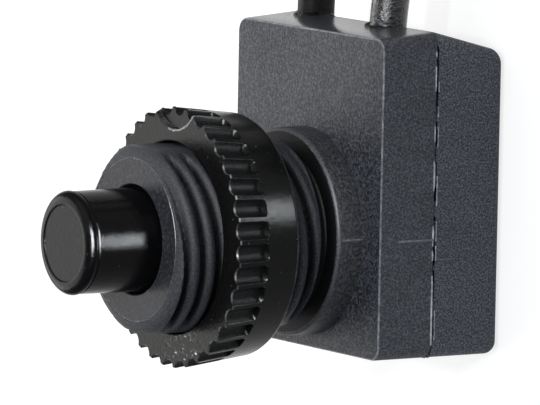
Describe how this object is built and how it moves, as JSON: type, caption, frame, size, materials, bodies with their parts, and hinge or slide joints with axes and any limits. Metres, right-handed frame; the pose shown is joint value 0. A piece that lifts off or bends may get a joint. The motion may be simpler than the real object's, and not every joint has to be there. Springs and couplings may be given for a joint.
{
  "type": "pushbutton switch",
  "caption": "Panel-mounted on-off pushbutton switch: moulded rectangular case, flatted threaded bushing with a scalloped ring nut, round button and insulated wire leads.",
  "frame": {"origin": "where the bushing's axis meets the housing's flat rear face", "axes": "+Z along the bushing's axis towards the button, +Y towards the housing's lead end, +X across the housing"},
  "size_m": [0.019, 0.0799, 0.025],
  "materials": {
    "housing": "fine matte moulding",
    "nut": "satin moulding",
    "button": "gloss",
    "spring_steel": "drawn wire",
    "rotor": "natural nylon",
    "brass_strip": "stamped strip",
    "silver": "silver rivet",
    "strands": "stranded copper",
    "lead_insulation": "smooth flexible insulation",
    "tie": "satin strap"
  },
  "bodies": {
    "case": {"front_housing": "housing", "rear_cover": "housing", "left_terminal": "brass_strip", "right_terminal": "brass_strip", "left_contact": "silver", "right_contact": "silver", "left_conductor": "strands", "right_conductor": "strands", "left_lead": "lead_insulation", "right_lead": "lead_insulation", "left_lead_hank": "lead_insulation", "right_lead_hank": "lead_insulation", "lead_tie": "tie"},
    "nut": {"knurled_nut": "nut"},
    "button": {"push_button": "button"},
    "rotor": {"index_rotor": "rotor", "contact_spider": "brass_strip", "return_spring": "spring_steel"}
  },
  "joints": [
    {"name": "button_press", "type": "slide", "parent": "case", "child": "button", "axis": [0, 0, -1], "range_m": [0, 0.0022], "stiffness_N_per_m": 400, "springref_m": -0.004, "deforming": ["return_spring"]},
    {"name": "rotor_index", "type": "hinge", "parent": "case", "child": "rotor", "pos_m": [0, 0, 0], "axis": [0, 0, 1], "range_deg": [0, 45.1]},
    {"name": "nut_travel", "type": "slide", "parent": "case", "child": "nut", "axis": [0, 0, 1], "range_m": [-0.0031, 0.019]}
  ],
  "couplings": [
    {"joint": "rotor_index", "follows": "button_press", "rad_per_m": 357}
  ]
}
